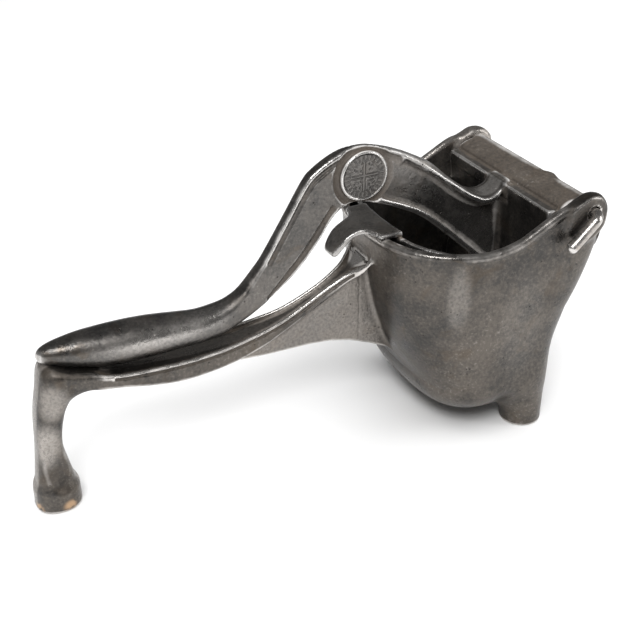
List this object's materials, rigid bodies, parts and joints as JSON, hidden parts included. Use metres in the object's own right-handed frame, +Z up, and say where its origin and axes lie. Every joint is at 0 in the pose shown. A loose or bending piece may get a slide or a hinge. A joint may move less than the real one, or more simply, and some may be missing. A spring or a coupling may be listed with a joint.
{
  "type": "hand lever press",
  "caption": "Cast hand lever press: a deep hopper on stub legs with a perforated liner, and a long hinged lever whose press plate swings inside it.",
  "frame": {"origin": "middle of the footprint box, on the surface the press stands on", "axes": "+X from the handle end to the hinge end, +Y across, +Z up"},
  "size_m": [0.263, 0.1122, 0.141],
  "materials": {
    "body_metal": "worn cast, satin",
    "lever_metal": "worn cast, polished by use",
    "liner_metal": "dull cast",
    "rod_metal": "worn wire rod"
  },
  "bodies": {
    "press_body": {"body_casting": "body_metal", "strainer_insert": "liner_metal"},
    "lever": {"lever_casting": "lever_metal"},
    "rod": {"hinge_rod": "rod_metal"}
  },
  "joints": [
    {"name": "lever_hinge", "type": "hinge", "parent": "press_body", "child": "lever", "pos_m": [0.11945, 0, 0.11], "axis": [0, 1, 0], "range_deg": [0, 100]},
    {"name": "rod_pull", "type": "slide", "parent": "press_body", "child": "rod", "axis": [0, -1, 0], "range_m": [0, 0.108]}
  ]
}
